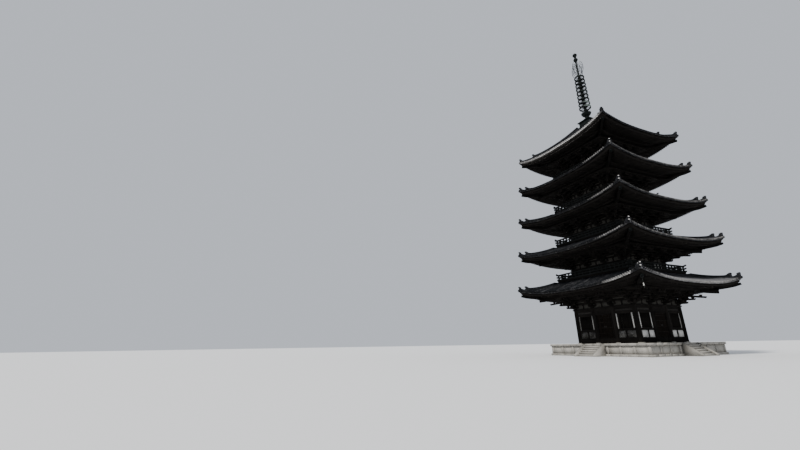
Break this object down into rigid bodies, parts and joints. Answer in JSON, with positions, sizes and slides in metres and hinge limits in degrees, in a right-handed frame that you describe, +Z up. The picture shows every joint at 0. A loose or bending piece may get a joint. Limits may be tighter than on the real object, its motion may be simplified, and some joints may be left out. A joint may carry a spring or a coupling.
{
  "type": "five-storey pagoda, 1:2 scale model",
  "caption": "Tall square timber pagoda with tiled roofs that turn up at the corners, galleries round the upper storeys, ground doors that open, a stone podium and a ringed finial.",
  "frame": {"origin": "middle of the podium's underside, on the ground", "axes": "+Z up, the four sides face -Y (south), +X (east), +Y (north) and -X (west)"},
  "size_m": [9.9314, 9.9314, 25.05],
  "materials": {
    "stone": "weathered granite",
    "timber": "old dark timber",
    "plaster": "lime plaster between dark timber",
    "tile": "dark fired clay tiles",
    "door": "old plank doors with studs",
    "bronze": "dark bronze"
  },
  "bodies": {
    "tower": {"podium": "stone", "south_stair": "stone", "east_stair": "stone", "north_stair": "stone", "west_stair": "stone", "central_pillar": "timber", "ground_floor": "timber", "south_wall_left": "plaster", "south_wall_right": "plaster", "south_doorway": "timber", "east_wall_left": "plaster", "east_wall_right": "plaster", "east_doorway": "timber", "north_wall_left": "plaster", "north_wall_right": "plaster", "north_doorway": "timber", "west_wall_left": "plaster", "west_wall_right": "plaster", "west_doorway": "timber", "storey1_brackets": "timber", "storey1_eaves": "timber", "storey1_roof": "tile", "storey2_walls": "plaster", "storey2_gallery": "timber", "storey2_brackets": "timber", "storey2_eaves": "timber", "storey2_roof": "tile", "storey3_walls": "plaster", "storey3_gallery": "timber", "storey3_brackets": "timber", "storey3_eaves": "timber", "storey3_roof": "tile", "storey4_walls": "plaster", "storey4_gallery": "timber", "storey4_brackets": "timber", "storey4_eaves": "timber", "storey4_roof": "tile", "storey5_walls": "plaster", "storey5_gallery": "timber", "storey5_brackets": "timber", "storey5_eaves": "timber", "storey5_roof": "tile", "finial_basin": "bronze", "finial_bowl": "bronze", "finial_rings": "bronze", "finial_crown": "bronze"},
    "south_door_left": {"south_door_left": "door"},
    "south_door_right": {"south_door_right": "door"},
    "east_door_left": {"east_door_left": "door"},
    "east_door_right": {"east_door_right": "door"},
    "north_door_left": {"north_door_left": "door"},
    "north_door_right": {"north_door_right": "door"},
    "west_door_left": {"west_door_left": "door"},
    "west_door_right": {"west_door_right": "door"}
  },
  "joints": [
    {"name": "south_door_left_hinge", "type": "hinge", "parent": "tower", "child": "south_door_left", "pos_m": [-0.508, -2.2675, 1.085], "axis": [0, 0, -1], "range_deg": [0, 100]},
    {"name": "south_door_right_hinge", "type": "hinge", "parent": "tower", "child": "south_door_right", "pos_m": [0.508, -2.2675, 1.085], "axis": [0, 0, 1], "range_deg": [0, 100]},
    {"name": "east_door_left_hinge", "type": "hinge", "parent": "tower", "child": "east_door_left", "pos_m": [2.2675, -0.508, 1.085], "axis": [0, 0, -1], "range_deg": [0, 100]},
    {"name": "east_door_right_hinge", "type": "hinge", "parent": "tower", "child": "east_door_right", "pos_m": [2.2675, 0.508, 1.085], "axis": [0, 0, 1], "range_deg": [0, 100]},
    {"name": "north_door_left_hinge", "type": "hinge", "parent": "tower", "child": "north_door_left", "pos_m": [0.508, 2.2675, 1.085], "axis": [0, 0, -1], "range_deg": [0, 100]},
    {"name": "north_door_right_hinge", "type": "hinge", "parent": "tower", "child": "north_door_right", "pos_m": [-0.508, 2.2675, 1.085], "axis": [0, 0, 1], "range_deg": [0, 100]},
    {"name": "west_door_left_hinge", "type": "hinge", "parent": "tower", "child": "west_door_left", "pos_m": [-2.2675, 0.508, 1.085], "axis": [0, 0, -1], "range_deg": [0, 100]},
    {"name": "west_door_right_hinge", "type": "hinge", "parent": "tower", "child": "west_door_right", "pos_m": [-2.2675, -0.508, 1.085], "axis": [0, 0, 1], "range_deg": [0, 100]}
  ]
}
